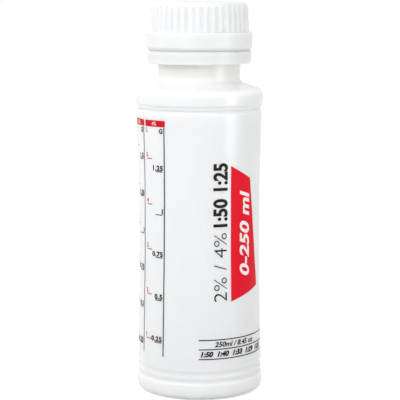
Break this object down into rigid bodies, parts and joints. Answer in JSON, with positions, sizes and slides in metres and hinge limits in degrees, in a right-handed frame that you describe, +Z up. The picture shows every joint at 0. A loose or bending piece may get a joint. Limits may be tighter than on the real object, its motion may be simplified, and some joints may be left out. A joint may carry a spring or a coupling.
{
  "type": "measuring and mixing bottle",
  "caption": "Round milky plastic mixing bottle with printed filling scales, a threaded neck, a ribbed screw cap, a foam liner and a loose tamper ring.",
  "frame": {"origin": "middle of the base, on the surface the bottle stands on", "axes": "+Z up along the bottle's axis; -Y is the side the picture shows"},
  "size_m": [0.055, 0.055, 0.169],
  "materials": {
    "bottle_plastic": "satin",
    "cap_plastic": "satin",
    "liner_foam": "matte"
  },
  "bodies": {
    "bottle": {"bottle": "bottle_plastic"},
    "liner": {"cap_liner": "liner_foam"},
    "cap": {"cap": "cap_plastic"},
    "ring": {"tamper_ring": "cap_plastic"}
  },
  "joints": [
    {"name": "cap_lift", "type": "slide", "parent": "bottle", "child": "liner", "axis": [0, 0, 1], "range_m": [0, 0.019]},
    {"name": "cap_turn", "type": "hinge", "parent": "liner", "child": "cap", "pos_m": [0, 0, 0.167], "axis": [0, 0, 1], "range_deg": [0, 1620]},
    {"name": "ring_spin", "type": "hinge", "parent": "bottle", "child": "ring", "pos_m": [0, 0, 0.145], "axis": [0, 0, 1], "continuous": true}
  ],
  "couplings": [
    {"joint": "cap_lift", "follows": "cap_turn", "m_per_rad": 0.00066845}
  ]
}
